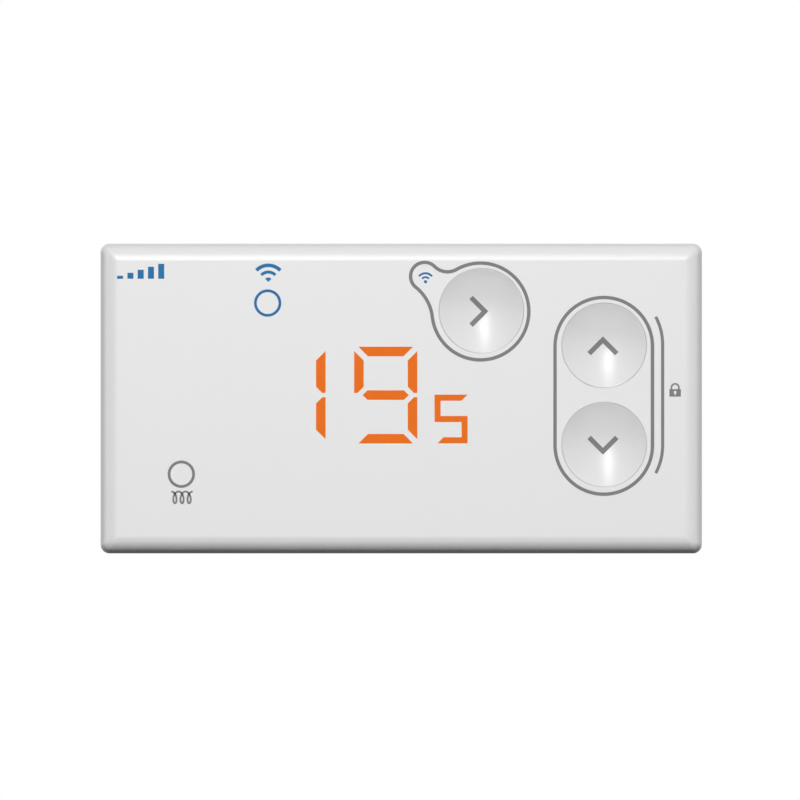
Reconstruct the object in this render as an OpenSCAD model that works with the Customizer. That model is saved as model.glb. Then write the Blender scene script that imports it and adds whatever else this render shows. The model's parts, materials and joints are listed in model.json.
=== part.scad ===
// Wall thermostat: a slim plastic unit with a hidden-until-lit display and three dished
// push buttons. It plugs onto a screwed wall plate that carries the mains terminals.
//
// Millimetres. +X is right, +Z is up and the front faces -Y. The wall is the plane y = 0.
// The origin is on the wall, midway between the two wall screws.
// Every value whose name ends in _d is a distance from the wall.

/* [Body] */
// Width of the unit
body_w = 120; // [119:0.5:124]
// Height of the unit
body_h = 61.8; // [61.4:0.1:66]
// Distance from the wall to the front face
front_d = 30; // [30:0.5:34]
// Radius of the rolled front edge
edge_roll = 3; // [2:0.1:3.4]
// Radius of the corners seen from the front
corner_r = 1.8; // [1:0.1:3]
// Draft of the front shell's side walls, in degrees
draft = 1.7; // [0.5:0.1:2.4]
// Wall thickness of the front shell
fascia_wall = 1.8; // [1.6:0.1:2]
// Wall thickness of the rear cover's skirt
skirt_wall = 2; // [1.6:0.1:2.4]
// Distance from the wall to the joint between the two shells
parting_d = 12; // [11.5:0.5:12.5]

/* [Buttons] */
// Radius of a button cap
button_r = 8.4; // [7:0.1:8.6]
// Depth of the dish in a button cap
dish_depth = 2; // [0.8:0.1:2.2]
// Radial gap between a cap and its hole
button_gap = 0.1; // [0.05:0.05:0.2]
// Travel of a button
button_travel = 0.5; // [0.2:0.05:0.5]
// Select button, distance right of the centre
select_x = 16; // [15:0.1:18]
// Select button, height above the centre
select_z = 17.5; // [16.5:0.1:18]
// Up and down buttons, distance right of the centre
arrow_x = 40.5; // [38:0.1:41]
// Up button, height above the centre
up_z = 10.6; // [10:0.05:12]
// Down button, height above the centre
down_z = -9.2; // [-12:0.05:-9]

/* [Display] */
// Width of a large digit
digit_w = 12.6; // [11:0.1:13]
// Height of a large digit
digit_h = 19.3; // [17:0.1:20]
// Stroke of a large digit
digit_stroke = 1.9; // [1.5:0.1:2.2]
// Distance between the two large digits
digit_pitch = 18.3; // [16:0.1:19]
// Right large digit, distance right of the centre
digit_x = -3.1; // [-4:0.1:-2]
// Large digits, height above the centre
digit_z = 0.7; // [-1:0.1:2]
// Width of the small digit
small_w = 6.6; // [5:0.1:7]
// Height of the small digit
small_h = 9.7; // [8:0.1:10]
// Stroke of the small digit
small_stroke = 1.2; // [0.9:0.1:1.3]
// Small digit, distance right of the centre
small_x = 9.9; // [9.5:0.1:10.5]

/* [Status lights] */
// Radius of a light pipe
light_r = 2.1; // [1.5:0.1:2.4]
// Network light, distance right of the centre
network_x = -26.8; // [-30:0.1:-24]
// Network light, height above the centre
network_z = 19.2; // [18:0.1:21]
// Heating light, distance right of the centre
heating_x = -44; // [-46:0.1:-42]
// Heating light, height above the centre
heating_z = -15; // [-16:0.1:-14]

/* [Wall plate] */
// Width of the wall plate
plate_w = 112; // [108:1:112]
// Height of the wall plate
plate_h = 54; // [53:0.5:54]
// Thickness of the wall plate
plate_t = 2.4; // [2.2:0.1:2.6]
// Distance between the wall screws
screw_spacing = 60; // [60:0.5:62]
// Half the width of a wall screw slot
screw_slot_r = 2.1; // [1.8:0.1:2.3]
// End-to-end length of a wall screw slot
screw_slot_length = 8; // [6:0.5:9]
// Width of the cable window
window_w = 36; // [30:1:40]

/* [Terminals] */
// Number of terminals
terminal_count = 4; // [2:1:4]
// Distance between terminals
terminal_pitch = 8; // [7.5:0.5:8.5]

/* [Hidden] */
$fn = 64;
eps = 0.01;

// Shells
fascia_inner_d = front_d - fascia_wall;
inner_w = body_w - 4.8;
inner_h = body_h - 4.8;
cover_w = body_w - 1.2;
cover_h = body_h - 1.2;
cover_inner_w = cover_w - 2 * skirt_wall;
cover_inner_h = cover_h - 2 * skirt_wall;
skirt_start_d = 0.8;
tongue_wall = 1;
tongue_gap = 0.15;
tongue_end_d = parting_d + 2;
panel_d = plate_t + 2;
panel_t = 1.4;
pocket_wall = 1.4;
vent_count = 8;
vent_pitch = 4;
vent_start_x = 22;
vent_w = 1.8;

// Fascia bosses and the rear cover's towers that meet them
boss_places = [for (x = [-1, 1], z = [-1, 1]) [x * (body_w / 2 - 7.5), z * (body_h / 2 - 7.4)]];
boss_r = 3.2;
boss_start_d = parting_d + 1;
housing_screw_r = 1.25;
housing_head_r = 2.5;
housing_head_t = 1.8;
housing_head_d = parting_d - 1.2;
thread_gap = 0.05;
screw_clearance = 0.25;
head_clearance = 0.3;

// Circuit boards
board_t = 1.6;
chamber_depth = 4.6;
board_spacing = 2.4;
display_d = fascia_inner_d - chamber_depth - board_t;
display_face_d = display_d + board_t;
power_d = display_d - board_spacing - board_t;
power_face_d = power_d + board_t;
board_w = inner_w - 5.2;
board_h = inner_h - 4;
board_notch = 7.4;
display_post_places = [[-48, 20], [-26, -20.5], [24, -20.5], [body_w / 2 - 7.4, 0.7]];
power_post_places = [for (x = [-28, 28], z = [-24, 24]) [x, z]];
post_r = 2.4;
board_screw_r = 0.95;
board_head_r = 1.9;
board_head_t = 1.1;
lead_r = 0.35;
lead_end_d = power_face_d + 0.6;

// Wall plate, cable window and the pocket of the rear cover in front of them
plate_corner_r = 3;
plate_rim_w = 1.2;
plate_rim_h = 0.8;
window_lip_w = 1.4;
window_lip_h = 1.2;
screw_head_r = 4.7;
screw_head_depth = 1.4;
screw_head_slot_length = screw_slot_length + 5.4;
window_low = -2;
window_high = 22;
block_front_d = plate_t + 11;
pocket_half_w = 23;
pocket_low = -19;
pocket_high = 24;
pocket_front_d = block_front_d + 1;
tab_half_w = 4.6;
tab_low = -27;
tab_high = -24.2;
tab_front_d = 9.6;
tab_pocket_half_w = 5.4;
tab_pocket_high = -23.4;
tab_pocket_front_d = 10.6;
tab_screw_d = 6.8;
retaining_r = 1.5;
retaining_head_r = 2.6;
retaining_head_t = 1.5;
hook_half_w = 4;
hook_x = 40;
hook_low = 23;
hook_clearance = 0.4;
hook_top = cover_inner_h / 2 + 0.7;
hook_front_d = plate_t + 1.6;

// Terminals
terminal_xs = [for (i = [0 : terminal_count - 1]) (i - (terminal_count - 1) / 2) * terminal_pitch];
block_half_w = terminal_count * terminal_pitch / 2 + 1;
block_low = -17;
block_high = -4;
block_floor_d = plate_t + 1;
block_roof_d = block_front_d - 1.6;
terminal_z = -8.5;
socket_z = -14.1;
cage_half_w = 2.9;
cage_low = -11.4;
cage_high = -5.6;
cage_rear_d = block_floor_d + 0.6;
cage_front_d = cage_rear_d + 6.6;
cage_clearance = 0.2;
cage_wall = 1;
fork_half_w = 1.8;
fork_depth = 2;
wire_half_w = 2.1;
screw_access_r = 2.5;
blade_entry = [1.4, 3.4];
terminal_screw_r = 1.45;
terminal_head_r = 2.3;
terminal_head_t = 1.5;
bar_half_w = 1.7;
leaf_w = 3.2;
blade_t = 0.8;
blade_half_h = 1.3;
leaf_t = 0.5;
leaf_gap = 0.1;
bar_rear_d = cage_rear_d + 1.05;
bar_t = 0.8;

// Button caps and switches
dish_sphere_r = (button_r * button_r + dish_depth * dish_depth) / (2 * dish_depth);
cap_rear_d = front_d - dish_depth - 1.5;
cap_flange_r = button_r + 1.1;
cap_flange_gap = 0.1;
hole_round = 0.25;
switch_size = 6.2;
switch_t = 1.7;
plunger_r = 1.72;
plunger_gap = 0.08;
plunger_front_d = cap_rear_d - 0.35;
plunger_length = 1.2;
switch_well_d = plunger_front_d - plunger_length - button_travel - 0.15;
hub_r = 2.2;
hub_gap = 0.05;
select_place = [select_x, select_z];
up_place = [arrow_x, up_z];
down_place = [arrow_x, down_z];

// Display
segment_gap = 0.85;
reflector_margin = 1.9;
reflector_front_d = fascia_inner_d - 0.2;
thin_wall = 0.8;
diffuser_front_d = front_d - thin_wall - 0.2;
diffuser_t = 2.5;
small_z = digit_z - digit_h / 2 + small_h / 2;
large_left = digit_x - digit_pitch - digit_w / 2;
large_right = digit_x + digit_w / 2;
small_right = small_x + small_w / 2;
light_places = [[network_x, network_z], [heating_x, heating_z]];

// Relay, on the power board's wall side
relay_left = 26;
relay_length = 28.4;
relay_half_h = 5.05;
relay_base_t = 1;
relay_wall = 0.8;
relay_z = 0;
relay_rear_d = panel_d + panel_t + 0.3;
relay_coil_d = power_d - 5.7;
relay_pole_x = relay_left + 5.45;
relay_yoke_x = relay_left + 18.8;
relay_pivot_x = relay_pole_x - 1.05;
relay_armature_t = 1;
relay_pole_r = 2.9;
relay_pole_t = 0.8;
relay_core_r = 1.5;
relay_yoke_t = 1;
relay_yoke_half_h = 3.4;
relay_cheek_t = 0.8;
relay_cheek_half_h = 3.8;
relay_winding_r = 3.3;
relay_contact_r = 0.9;
relay_pivot_d = power_d - 2.4;
relay_contact_d = power_d - 9.9;
relay_pin_places = [for (x = [2.2, 26.2], z = [-3.2, 3.2]) [relay_left + x, relay_z + z]];

// Other parts on the power board's wall side
transformer_place = [-40, 9];
transformer_limb_half_w = 1.6;
bulk_places = [[-48, -9], [-36, -9]];
bulk_r = 4;
bulk_length = 11;
mains_capacitor_place = [35, 13];
varistor_place = [49.5, 13];
fuse_place = [36, -15];
sensor_place = [-38, -25];
sensor_r = 1.2;
sensor_d = power_d - 7;
lead_places = concat(
    [for (x = [-1, 1], z = [-1, 0, 1]) transformer_place + [x * 4.8, z * 4]],
    [for (p = bulk_places, x = [-1.25, 1.25]) p + [x, 0]],
    [for (x = [-5, 5]) mains_capacitor_place + [x, 0]],
    [for (z = [-2.5, 2.5]) varistor_place + [0, z]],
    [for (x = [-2.5, 2.5]) fuse_place + [x, 0]],
    relay_pin_places
);
sensor_lead_places = [for (x = [-1.27, 1.27]) sensor_place + [x, 0]];

// Link between the boards
header_count = 8;
header_pitch = 2;
header_place = [-4, 23.2];

// Radio module
radio_place = [-44, 3];
radio_w = 18;
radio_h = 25;
radio_t = 0.8;
shield_t = 2.2;

// A solid between two distances from the wall, drawn in the X-Z plane.
module slab(near_d, far_d) {
    rotate([90, 0, 0]) translate([0, 0, near_d]) linear_extrude(far_d - near_d) children();
}

// A rod from one distance from the wall to another.
module rod(place, near_d, far_d, r) {
    slab(near_d, far_d) translate(place) circle(r);
}

// A rectangle in the X-Z plane by its limits.
module limits(left, right, low, high) {
    translate([left, low]) square([right - left, high - low]);
}

// A rectangle with round corners, centred.
module rounded(w, h, r) {
    square([w, h - 2 * r], center = true);
    square([w - 2 * r, h], center = true);
    for (x = [-1, 1], z = [-1, 1]) translate([x * (w / 2 - r), z * (h / 2 - r)]) circle(r);
}

// A slot with round ends along X, centred.
module slot_outline(length, r) {
    square([length - 2 * r, 2 * r], center = true);
    for (x = [-1, 1]) translate([x * (length / 2 - r), 0]) circle(r);
}

// A ring between two rounded rectangles.
module rounded_ring(w, h, r, thickness) {
    difference() {
        rounded(w, h, r);
        rounded(w - 2 * thickness, h - 2 * thickness, max(r - thickness, 0.5));
    }
}

// Cross-section of the front shell's outside: drafted sides and a rolled front edge.
module roll_profile(half) {
    centre_d = front_d - edge_roll;
    flat = half - (edge_roll + (centre_d - parting_d) * sin(draft)) / cos(draft);
    side = flat + edge_roll * cos(draft);
    side_d = centre_d + edge_roll * sin(draft);
    polygon([
        [-half, parting_d], [half, parting_d], [side, side_d],
        [flat, front_d], [-flat, front_d], [-side, side_d]
    ]);
    for (s = [-1, 1]) translate([s * flat, centre_d]) circle(edge_roll);
}

// Outside of the front shell, with mitred rolled edges and slightly round corners.
module fascia_outside() {
    intersection() {
        translate([0, 0, -body_h]) linear_extrude(2 * body_h) mirror([0, 1]) roll_profile(body_w / 2);
        rotate([90, 0, 90]) translate([0, 0, -body_w]) linear_extrude(2 * body_w)
            rotate(90) roll_profile(body_h / 2);
        slab(parting_d, front_d) rounded(body_w, body_h, corner_r);
    }
}

// A button's hole through the front shell, with a broken front edge.
module button_hole(place) {
    hole_r = button_r + button_gap;
    rod(place, fascia_inner_d - 1, front_d + 1, hole_r);
    translate([place[0], -front_d + hole_round, place[1]]) rotate([90, 0, 0])
        cylinder(h = hole_round + eps, r1 = hole_r, r2 = hole_r + hole_round + eps);
}

// Outline of the light chamber: the large digits' block and a lower block for the small digit.
module display_outline(margin) {
    limits(large_left - margin, large_right + margin,
        digit_z - digit_h / 2 - margin, digit_z + digit_h / 2 + margin);
    limits(large_right, small_right + margin,
        digit_z - digit_h / 2 - margin, small_z + small_h / 2 + margin);
}

// Seven segments of one digit, centred. grow widens each segment.
module digit_segments(w, h, stroke) {
    half_w = w / 2;
    half_h = h / 2;
    gap = segment_gap * stroke / digit_stroke;
    bevel = 0.65 * stroke;
    for (s = [-1, 1]) {
        polygon([
            [-half_w + gap, s * half_h], [half_w - gap, s * half_h],
            [half_w - gap - stroke, s * (half_h - stroke)], [-half_w + gap + stroke, s * (half_h - stroke)]
        ]);
        for (t = [-1, 1]) polygon([
            [s * half_w, t * (half_h - gap)], [s * half_w, t * gap / 2],
            [s * (half_w - stroke + bevel), t * gap / 2],
            [s * (half_w - stroke), t * (gap / 2 + bevel)],
            [s * (half_w - stroke), t * (half_h - gap - stroke)]
        ]);
    }
    tip = half_w - 2 * gap;
    polygon([
        [-tip, 0], [-tip + stroke / 2, stroke / 2], [tip - stroke / 2, stroke / 2],
        [tip, 0], [tip - stroke / 2, -stroke / 2], [-tip + stroke / 2, -stroke / 2]
    ]);
}

// All the display's segments.
module display_segments() {
    for (i = [0, 1]) translate([digit_x - i * digit_pitch, digit_z])
        digit_segments(digit_w, digit_h, digit_stroke);
    translate([small_x, small_z]) digit_segments(small_w, small_h, small_stroke);
}

// Centres of one digit's segments.
function segment_centres(w, h, stroke) = concat(
    [for (t = [-1, 0, 1]) [0, t * (h - stroke) / 2]],
    [for (s = [-1, 1], t = [-1, 1]) [s * (w - stroke) / 2, t * h / 4]]
);

// Outline of both circuit boards, notched at the corners for the fascia's bosses.
module board_outline() {
    difference() {
        square([board_w, board_h], center = true);
        for (x = [-1, 1], z = [-1, 1]) translate([x * board_w / 2, z * board_h / 2])
            square(2 * board_notch, center = true);
    }
}

// A screw along the depth: shank forwards from the head's seat, head towards the wall.
module screw(place, seat_d, end_d, r, head_r, head_t) {
    difference() {
        union() {
            rod(place, seat_d - head_t, seat_d, head_r);
            rod(place, seat_d - eps, end_d, r);
        }
        slab(seat_d - head_t - eps, seat_d - head_t / 2) translate(place) {
            square([head_r * 1.3, head_r * 0.3], center = true);
            square([head_r * 0.3, head_r * 1.3], center = true);
        }
    }
}

// A screw along the depth with its head towards the front.
module front_screw(place, seat_d, end_d, r, head_r, head_t) {
    mirror([0, 1, 0]) screw(place, -seat_d, -end_d, r, head_r, head_t);
}

// Plate that is screwed to the wall: it takes the screws, the cable and the terminal block.
module wall_plate() color("gainsboro") difference() {
    union() {
        slab(0, plate_t) rounded(plate_w, plate_h, plate_corner_r);
        slab(plate_t - eps, plate_t + plate_rim_h)
            rounded_ring(plate_w, plate_h, plate_corner_r, plate_rim_w);
        slab(plate_t - eps, plate_t + window_lip_h) difference() {
            limits(-window_w / 2 - window_lip_w, window_w / 2 + window_lip_w,
                window_low, window_high + window_lip_w);
            limits(-window_w, window_w, window_low - 1, window_low + 0.4);
        }
        slab(plate_t - eps, tab_front_d) limits(-tab_half_w, tab_half_w, tab_low, tab_high);
        for (s = [-1, 1]) slab(plate_t - eps, hook_front_d)
            limits(s * hook_x - hook_half_w, s * hook_x + hook_half_w, hook_low, hook_top);
    }
    slab(-1, plate_t + 3) limits(-window_w / 2, window_w / 2, window_low, window_high);
    for (s = [-1, 1]) translate([s * screw_spacing / 2, 0, 0]) {
        slab(-1, plate_t + 1) slot_outline(screw_slot_length, screw_slot_r);
        slab(plate_t - screw_head_depth, plate_t + 1)
            slot_outline(screw_head_slot_length, screw_head_r);
    }
    wall_plate_lightening();
    translate([0, -tab_screw_d, tab_low - 1])
        cylinder(h = tab_high - tab_low + 2, r = retaining_r + thread_gap);
}

// Shallow square recesses in the plate's wall side, either side of the wall screws.
module wall_plate_lightening() {
    cell = 8;
    pitch = cell + 1.2;
    depth = 0.8;
    outer_x = 42.5;
    inner_x = 24.1;
    for (s = [-1, 1], i = [0, 1]) {
        for (j = [-1.5 : 1.5]) translate([s * (outer_x + i * pitch), 0, j * pitch])
            slab(-1, depth) square(cell, center = true);
        for (j = [-1.5, 1.5]) translate([s * (inner_x + i * pitch), 0, j * pitch])
            slab(-1, depth) square(cell, center = true);
    }
}

// Insulating body of the terminals. Wires enter from above and blades from the front.
module terminal_block() color("darkslategray") difference() {
    slab(plate_t, block_front_d) limits(-block_half_w, block_half_w, block_low, block_high);
    for (x = terminal_xs) translate([x, 0, 0]) {
        slab(block_floor_d, block_roof_d) {
            limits(-cage_half_w - cage_clearance, cage_half_w + cage_clearance,
                cage_low - 2 * cage_clearance, cage_high + 2 * cage_clearance);
            limits(-fork_half_w, fork_half_w, socket_z - fork_depth, cage_low);
        }
        rod([0, terminal_z], block_roof_d - 1, block_front_d + 1, screw_access_r);
        slab(block_roof_d - 1, block_front_d + 1)
            translate([0, socket_z]) square(blade_entry, center = true);
        slab(bar_rear_d + bar_t - 0.2, cage_front_d - cage_wall)
            limits(-wire_half_w, wire_half_w, cage_high, block_high + 1);
    }
}

// Clamping screws of the terminals.
module terminal_screws() color("silver")
    for (x = terminal_xs)
        front_screw([x, terminal_z], block_roof_d - 0.3, cage_front_d - 1.8,
            terminal_screw_r, terminal_head_r, terminal_head_t);

// Steel frames that hold the wires.
module terminal_cages() color("darkgray") for (x = terminal_xs) translate([x, 0, 0]) difference() {
    slab(cage_rear_d, cage_front_d) limits(-cage_half_w, cage_half_w, cage_low, cage_high);
    slab(cage_rear_d + cage_wall, cage_front_d - cage_wall - 0.2)
        limits(-wire_half_w, wire_half_w, cage_low - 1, cage_high + 1);
    rod([0, terminal_z], cage_front_d - 2, cage_front_d + 1, terminal_screw_r + thread_gap);
}

// Brass bars from the cages to the forks that grip the unit's blades.
module socket_contacts() color("goldenrod") for (x = terminal_xs) translate([x, 0, 0]) {
    slab(bar_rear_d, bar_rear_d + bar_t)
        limits(-bar_half_w, bar_half_w, socket_z - bar_half_w, cage_high + 0.2);
    for (s = [-1, 1]) translate([s * (blade_t / 2 + leaf_gap + leaf_t / 2), 0, 0])
        slab(bar_rear_d, block_roof_d - 0.3)
            translate([0, socket_z]) square([leaf_t, leaf_w], center = true);
}

// Screw through the bottom of the rear cover that keeps the unit on the wall plate.
module retaining_screw() color("silver") translate([0, -tab_screw_d, 0]) difference() {
    head_low = -cover_h / 2 - 0.1;
    union() {
        translate([0, 0, head_low]) cylinder(h = retaining_head_t, r = retaining_head_r);
        translate([0, 0, head_low + retaining_head_t - 0.1])
            cylinder(h = tab_high - head_low - 2, r = retaining_r);
    }
    translate([0, 0, head_low]) for (a = [0, 90]) rotate(a) cube([3.4, 0.8, 1.6], center = true);
}

// Rear cover: a skirt round the wall plate, a back panel, and a pocket over the terminals.
module rear_cover() color("whitesmoke") difference() {
    union() {
        slab(skirt_start_d, parting_d) rounded_ring(cover_w, cover_h, corner_r, skirt_wall);
        slab(parting_d - 2, parting_d) rounded_ring(cover_w, cover_h, corner_r, skirt_wall + tongue_wall);
        slab(parting_d - 2, tongue_end_d)
            rounded_ring(inner_w - 2 * tongue_gap, inner_h - 2 * tongue_gap, 1, tongue_wall);
        slab(panel_d, panel_d + panel_t) rounded(cover_inner_w + 1, cover_inner_h + 1, 1);
        slab(panel_d, pocket_front_d + pocket_wall)
            limits(-pocket_half_w - pocket_wall, pocket_half_w + pocket_wall,
                pocket_low - pocket_wall, pocket_high + pocket_wall);
        slab(panel_d, tab_pocket_front_d + pocket_wall)
            limits(-tab_pocket_half_w - pocket_wall, tab_pocket_half_w + pocket_wall,
                -cover_inner_h / 2 - 0.5, tab_pocket_high + pocket_wall);
        for (p = boss_places) rod(p, panel_d, boss_start_d - 0.2, boss_r + 0.4);
        for (p = power_post_places) rod(p, panel_d, power_d, post_r);
        rear_cover_sensor_wall();
    }
    slab(panel_d - 1, pocket_front_d) limits(-pocket_half_w, pocket_half_w, pocket_low, pocket_high);
    slab(panel_d - 1, tab_pocket_front_d)
        limits(-tab_pocket_half_w, tab_pocket_half_w, -cover_inner_h / 2, tab_pocket_high);
    for (x = terminal_xs) slab(pocket_front_d - 1, pocket_front_d + pocket_wall + 1)
        translate([x, socket_z]) square([blade_t + 0.6, 2 * blade_half_h + 0.6], center = true);
    for (p = boss_places) {
        rod(p, panel_d - 1, housing_head_d, housing_head_r + head_clearance);
        rod(p, panel_d, boss_start_d, housing_screw_r + screw_clearance);
    }
    for (p = power_post_places) rod(p, power_d - 9, power_d + 1, board_screw_r + thread_gap);
    for (s = [-1, 1]) slab(plate_t - 0.4, panel_d)
        limits(s * hook_x - hook_half_w - hook_clearance, s * hook_x + hook_half_w + hook_clearance,
            cover_inner_h / 2 - 1, hook_top + hook_clearance - 0.1);
    translate([0, -tab_screw_d, -cover_h / 2 - 1]) {
        cylinder(h = 4, r = retaining_r + screw_clearance);
        cylinder(h = 2.4, r = retaining_head_r + head_clearance);
    }
    rear_cover_vents();
}

// Air slots in the rear cover's top and bottom.
module rear_cover_vents() {
    for (s = [-1, 1], t = [-1, 1], i = [0 : vent_count - 1])
        translate([s * (vent_start_x + i * vent_pitch), 0, t * cover_h / 2])
            slab(panel_d + panel_t + 0.6, parting_d - 2.4)
                square([vent_w, 2 * skirt_wall + 2], center = true);
}

// Wall inside the rear cover that keeps warm air away from the temperature sensor.
module rear_cover_sensor_wall() {
    wall = 1.2;
    left = sensor_place[0] - 7;
    right = sensor_place[0] + 5;
    low = sensor_place[1] - 2;
    high = sensor_place[1] + 4.4;
    slab(panel_d, power_d - 0.8) {
        limits(left, right, high - wall, high);
        limits(left, left + wall, low, high);
        limits(right - wall, right, low, high);
    }
}

// Screws that join the two shells, driven from the wall side.
module housing_screws() color("silver")
    for (p = boss_places)
        screw(p, housing_head_d, boss_start_d + 7.2, housing_screw_r, housing_head_r, housing_head_t);

// Front shell: the face, its rolled edges, button holes, bosses and the thin display window.
module fascia() color("white") difference() {
    union() {
        difference() {
            fascia_outside();
            slab(parting_d - 1, fascia_inner_d) rounded(inner_w, inner_h, 1);
        }
        for (p = boss_places) rod(p, boss_start_d, fascia_inner_d + eps, boss_r);
        for (p = display_post_places) rod(p, display_face_d, fascia_inner_d + eps, post_r);
        for (p = light_places) rod(p, fascia_inner_d - 1.2, fascia_inner_d + eps, light_r + 0.9);
    }
    for (p = [select_place, up_place, down_place]) button_hole(p);
    slab(fascia_inner_d - 1, front_d - thin_wall) display_outline(0.6);
    for (p = light_places) rod(p, fascia_inner_d - 2, front_d - thin_wall, light_r + 0.1);
    for (p = boss_places) rod(p, boss_start_d - 1, boss_start_d + 9, housing_screw_r + thread_gap);
    for (p = display_post_places)
        rod(p, display_face_d - 1, fascia_inner_d - 0.2, board_screw_r + thread_gap);
}

// Mains board, with its parts on the wall side.
module power_board() color("seagreen") slab(power_d, power_face_d) difference() {
    board_outline();
    for (p = power_post_places) translate(p) circle(board_screw_r + screw_clearance);
    for (p = concat(lead_places, sensor_lead_places)) translate(p) circle(lead_r + 0.1);
    for (x = terminal_xs)
        translate([x, socket_z]) square([blade_t + 0.2, 2 * blade_half_h + 0.2], center = true);
    for (i = [0 : header_count - 1]) translate(header_pin_place(i)) circle(0.45);
}

// Screws that hold the mains board on the rear cover's posts.
module power_board_screws() color("silver")
    for (p = power_post_places)
        front_screw(p, power_face_d, power_d - 8, board_screw_r, board_head_r, board_head_t);

// Blades that plug the unit into the terminal block.
module contact_blades() color("goldenrod")
    for (x = terminal_xs) slab(bar_rear_d + bar_t + 0.4, lead_end_d)
        translate([x, socket_z]) square([blade_t, 2 * blade_half_h], center = true);

// Soldered leads of the parts on the mains board.
module component_leads() color("silver")
    for (p = lead_places) rod(p, power_d - 0.02, lead_end_d, lead_r);

// Plastic base of the relay.
module relay_base() color("black")
    slab(power_d - relay_base_t - 0.02, power_d - 0.02)
        limits(relay_left, relay_left + relay_length, relay_z - relay_half_h, relay_z + relay_half_h);

// Moulded cover of the relay.
module relay_cover() color("black") difference() {
    base_d = power_d - relay_base_t - 0.02;
    slab(relay_rear_d, base_d)
        limits(relay_left, relay_left + relay_length, relay_z - relay_half_h, relay_z + relay_half_h);
    slab(relay_rear_d + relay_wall, base_d + 1)
        limits(relay_left + relay_wall, relay_left + relay_length - relay_wall,
            relay_z - relay_half_h + relay_wall, relay_z + relay_half_h - relay_wall);
}

// A cylinder along X at the relay coil's axis.
module relay_rod(left, right, r) {
    translate([left, -relay_coil_d, relay_z]) rotate([0, 90, 0]) cylinder(h = right - left, r = r);
}

// Iron core with its pole face, and the yoke that leads back to the armature.
module relay_core() color("dimgray") {
    low_z = relay_z - relay_yoke_half_h;
    high_z = relay_z + relay_yoke_half_h;
    yoke_end = relay_yoke_x + relay_yoke_t;
    relay_rod(relay_pole_x, relay_pole_x + relay_pole_t, relay_pole_r);
    relay_rod(relay_pole_x + relay_pole_t - 0.1, relay_yoke_x + 0.5, relay_core_r);
    slab(relay_coil_d - 3.2, power_d - 1.2) limits(relay_yoke_x, yoke_end, low_z, high_z);
    slab(power_d - 2.1, power_d - 1.2) limits(relay_pole_x - 0.6, yoke_end, low_z, high_z);
}

// Bobbin between the core and the winding.
module relay_bobbin() color("ivory") difference() {
    union() {
        relay_rod(relay_pole_x + relay_pole_t + 0.05, relay_yoke_x - 0.05, relay_core_r + 0.4);
        for (x = [relay_pole_x + relay_pole_t + 0.05, relay_yoke_x - relay_cheek_t - 0.05])
            slab(relay_coil_d - relay_yoke_half_h, relay_coil_d + relay_yoke_half_h)
                limits(x, x + relay_cheek_t, relay_z - relay_cheek_half_h, relay_z + relay_cheek_half_h);
    }
    relay_rod(relay_pole_x, relay_yoke_x + 1, relay_core_r + 0.02);
}

// Copper winding of the relay.
module relay_coil() color("sienna") difference() {
    relay_rod(relay_pole_x + relay_pole_t + relay_cheek_t + 0.1, relay_yoke_x - relay_cheek_t - 0.1,
        relay_winding_r);
    relay_rod(relay_pole_x, relay_yoke_x, relay_core_r + 0.45);
}

// Armature that the energised core pulls in.
module relay_armature() color("dimgray")
    slab(relay_coil_d - 2.8, relay_pivot_d)
        limits(relay_pivot_x - relay_armature_t / 2, relay_pivot_x + relay_armature_t / 2,
            relay_z - 3.2, relay_z + 3.2);

// Contact button of the relay, from a place along X.
module relay_contact(x) {
    translate([x, -relay_contact_d, relay_z]) rotate([0, 90, 0]) cylinder(h = 0.6, r = relay_contact_r);
}

// Contact spring and its contact, carried by the armature.
module relay_moving_contact() color("goldenrod") {
    spring_x = relay_pivot_x - relay_armature_t / 2;
    spring_t = 0.3;
    spring_half_h = 1.6;
    slab(relay_contact_d - 1, relay_pivot_d - 1.5)
        limits(spring_x - spring_t, spring_x, relay_z - spring_half_h, relay_z + spring_half_h);
    relay_contact(spring_x - 0.05);
}

// Fixed contact on a bar over the coil, with its leg down to the base.
module relay_fixed_contact() color("goldenrod") {
    bar_t = 0.4;
    bar_d = relay_contact_d - relay_contact_r;
    start_x = relay_pole_x + 0.2;
    end_x = relay_yoke_x + 3;
    low_z = relay_z - 1.2;
    high_z = relay_z + 1.2;
    relay_contact(relay_pole_x - 0.35);
    slab(bar_d, relay_contact_d + relay_contact_r) limits(start_x, start_x + bar_t, low_z, high_z);
    slab(bar_d, bar_d + bar_t) limits(start_x, end_x, low_z, high_z);
    slab(bar_d, power_d - 1.1) limits(end_x - bar_t, end_x, low_z, high_z);
}

// Ferrite core of the supply transformer: two outer limbs, a centre limb and two end bars.
module transformer_core() color("dimgray") translate([transformer_place[0], 0, transformer_place[1]]) {
    low_d = relay_rear_d + 0.4;
    high_d = power_d - 1.2;
    half_w = 6.4;
    half_h = 3;
    bar_t = 1.8;
    slab(low_d, high_d) for (x = [-half_w, half_w - bar_t]) limits(x, x + bar_t, -half_h, half_h);
    for (d = [low_d, high_d - bar_t]) slab(d, d + bar_t) limits(-half_w, half_w, -half_h, half_h);
    slab(low_d, high_d) limits(-transformer_limb_half_w, transformer_limb_half_w, -half_h, half_h);
}

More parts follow.
